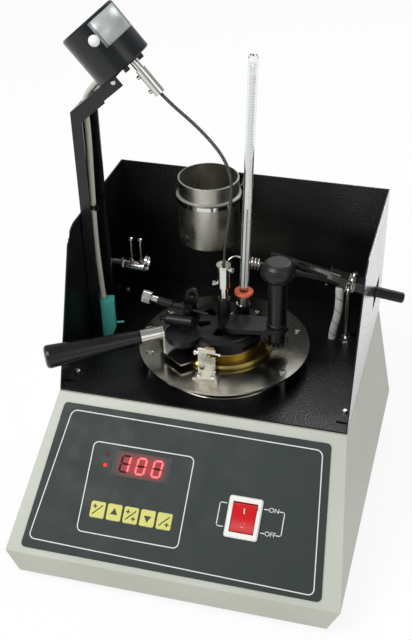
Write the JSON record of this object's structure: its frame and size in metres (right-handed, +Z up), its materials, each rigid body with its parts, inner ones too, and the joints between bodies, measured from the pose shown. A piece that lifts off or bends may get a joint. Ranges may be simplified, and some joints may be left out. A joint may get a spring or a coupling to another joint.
{
  "type": "flash point tester",
  "caption": "Bench-top closed-cup flash point tester: grey cabinet with sloping key panel, black hood, heated brass cup with hinged handle, lid, stirrer drive, gas burner and electric lighter.",
  "frame": {"origin": "centre of the bounding box on the table, under the four feet", "axes": "+Z up, +X to the right of the person who works it, -Y out of the front panel"},
  "size_m": [0.2652, 0.2664, 0.3895],
  "materials": {
    "cabinet_paint": "warm light grey fine-textured paint",
    "black_crackle": "black crackle paint, semi-gloss",
    "slate_film": "dark slate film with white lines",
    "red_window": "dark red display window",
    "red_lamp": "clear red lamps",
    "white_plastic": "white switch frame",
    "red_plastic": "red rocker",
    "key_plastic": "yellow-green keys",
    "circuit_board": "green circuit board",
    "dark_steel": "dark steel",
    "black_plastic": "black moulding",
    "rubber": "black rubber",
    "stainless": "turned stainless steel",
    "cast_iron": "as cast",
    "brass": "turned brass",
    "bright_steel": "bright plated",
    "black_metal": "satin black finish",
    "clear_glass": "clear glass with white back",
    "red_rubber": "orange-red silicone",
    "black_enamel": "black gloss enamel",
    "grey_cord": "grey insulation",
    "teal_plastic": "teal moulding",
    "white_braid": "white glass-fibre braid"
  },
  "bodies": {
    "base": {"cabinet_shell": "cabinet_paint", "base_plate": "cabinet_paint", "feet": "rubber", "deck_plate": "black_crackle", "hood": "black_crackle", "panel_overlay": "slate_film", "display_window": "red_window", "indicator_lamps": "red_lamp", "switch_bezel": "white_plastic", "control_board": "circuit_board", "transformer": "dark_steel", "power_inlet": "black_plastic", "heater_plate": "stainless", "plate_posts": "stainless", "air_bath": "cast_iron", "heater_band": "stainless", "bath_jacket": "stainless", "latch_plate": "stainless", "column": "black_enamel", "motor": "black_enamel", "motor_lead": "grey_cord", "lead_block": "teal_plastic", "lead_tie": "black_plastic", "flexible_shaft": "dark_steel", "gas_manifold": "bright_steel", "cup_hoop": "bright_steel", "igniter_post": "bright_steel", "igniter_sleeve": "white_braid", "fixing_screws": "bright_steel"},
    "cup": {"test_cup": "brass", "handle_plate": "stainless", "handle_grip": "black_plastic", "cup_screws": "bright_steel"},
    "lid": {"lid_ring": "black_metal", "lid_plate": "black_metal", "lid_screws": "bright_steel", "thermometer_socket": "black_metal", "burner_lug": "black_metal", "gas_chamber": "black_metal"},
    "shutter": {"shutter": "black_metal"},
    "knob": {"knob_spindle": "black_metal", "shutter_knob": "black_plastic"},
    "stirrer": {"stirrer": "bright_steel"},
    "drive": {"motor_coupling": "bright_steel"},
    "thermometer": {"thermometer": "clear_glass", "thermometer_ring": "red_rubber"},
    "burner": {"burner_tube": "black_metal"},
    "burner_valve": {"burner_valve": "bright_steel"},
    "steel_cup": {"steel_cup": "stainless"},
    "igniter": {"igniter_bracket": "bright_steel", "igniter_lever": "black_metal", "igniter_coil": "bright_steel"},
    "rocker": {"rocker": "red_plastic"},
    "gas_tap_1": {"gas_tap_1": "bright_steel"},
    "gas_tap_2": {"gas_tap_2": "bright_steel"},
    "key_1": {"key_1": "key_plastic"},
    "key_2": {"key_2": "key_plastic"},
    "key_3": {"key_3": "key_plastic"},
    "key_4": {"key_4": "key_plastic"},
    "key_5": {"key_5": "key_plastic"}
  },
  "joints": [
    {"name": "lid_lift", "type": "slide", "parent": "base", "child": "lid", "axis": [0, 0, 1], "range_m": [0, 0.06], "deforming": ["flexible_shaft"]},
    {"name": "cup_turn", "type": "hinge", "parent": "base", "child": "cup", "pos_m": [-0.00216, 0.03135, 0.134], "axis": [0, 0, 1], "range_deg": [0, 9]},
    {"name": "motor_turn", "type": "hinge", "parent": "base", "child": "drive", "pos_m": [-0.06949, 0.04435, 0.35114], "axis": [0.6494, 0, -0.7604], "continuous": true},
    {"name": "stirrer_turn", "type": "hinge", "parent": "lid", "child": "stirrer", "pos_m": [-0.00216, 0.03135, 0.15], "axis": [0, 0, -1], "continuous": true},
    {"name": "knob_turn", "type": "hinge", "parent": "lid", "child": "knob", "pos_m": [0.04131, 0.02647, 0.154], "axis": [0, 0, 1], "range_deg": [0, 120], "stiffness_Nm_per_rad": 0.02, "springref_deg": -17.19},
    {"name": "shutter_turn", "type": "hinge", "parent": "lid", "child": "shutter", "pos_m": [-0.00216, 0.03135, 0.142], "axis": [0, 0, -1], "range_deg": [0, 30]},
    {"name": "burner_dip", "type": "hinge", "parent": "lid", "child": "burner", "pos_m": [-0.02966, 0.02435, 0.1617], "axis": [0, 1, 0], "range_deg": [0, 30]},
    {"name": "burner_valve_turn", "type": "hinge", "parent": "burner", "child": "burner_valve", "pos_m": [-0.06411, 0.02435, 0.1679], "axis": [0.9842, 0, -0.1771], "range_deg": [-180, 180]},
    {"name": "thermometer_lift", "type": "slide", "parent": "lid", "child": "thermometer", "axis": [0.0366, 0, 0.9993], "range_m": [0, 0.085]},
    {"name": "steel_cup_lift", "type": "slide", "parent": "base", "child": "steel_cup", "axis": [0, 0, 1], "range_m": [0, 0.06]},
    {"name": "igniter_turn", "type": "hinge", "parent": "base", "child": "igniter", "pos_m": [0.08894, 0.07815, 0.164], "axis": [0, 0, 1], "range_deg": [-28, 12], "deforming": ["igniter_sleeve"]},
    {"name": "rocker_tilt", "type": "hinge", "parent": "base", "child": "rocker", "pos_m": [0.04434, -0.09279, 0.0639], "axis": [1, 0, 0], "range_deg": [-18, 0]},
    {"name": "key_1_press", "type": "slide", "parent": "base", "child": "key_1", "axis": [0, 0.6705, -0.7419], "range_m": [0, 0.00035], "stiffness_N_per_m": 300},
    {"name": "key_2_press", "type": "slide", "parent": "base", "child": "key_2", "axis": [0, 0.6705, -0.7419], "range_m": [0, 0.00035], "stiffness_N_per_m": 300},
    {"name": "key_3_press", "type": "slide", "parent": "base", "child": "key_3", "axis": [0, 0.6705, -0.7419], "range_m": [0, 0.00035], "stiffness_N_per_m": 300},
    {"name": "key_4_press", "type": "slide", "parent": "base", "child": "key_4", "axis": [0, 0.6705, -0.7419], "range_m": [0, 0.00035], "stiffness_N_per_m": 300},
    {"name": "key_5_press", "type": "slide", "parent": "base", "child": "key_5", "axis": [0, 0.6705, -0.7419], "range_m": [0, 0.00035], "stiffness_N_per_m": 300},
    {"name": "gas_tap_1_turn", "type": "hinge", "parent": "base", "child": "gas_tap_1", "pos_m": [-0.09316, 0.07735, 0.174], "axis": [0, 0, 1], "range_deg": [0, 90]},
    {"name": "gas_tap_2_turn", "type": "hinge", "parent": "base", "child": "gas_tap_2", "pos_m": [-0.08516, 0.07735, 0.174], "axis": [0, 0, 1], "range_deg": [0, 90]}
  ],
  "couplings": [
    {"joint": "stirrer_turn", "follows": "motor_turn", "ratio": 1},
    {"joint": "shutter_turn", "follows": "knob_turn", "ratio": 0.25},
    {"joint": "burner_dip", "follows": "knob_turn", "ratio": 0.25}
  ]
}
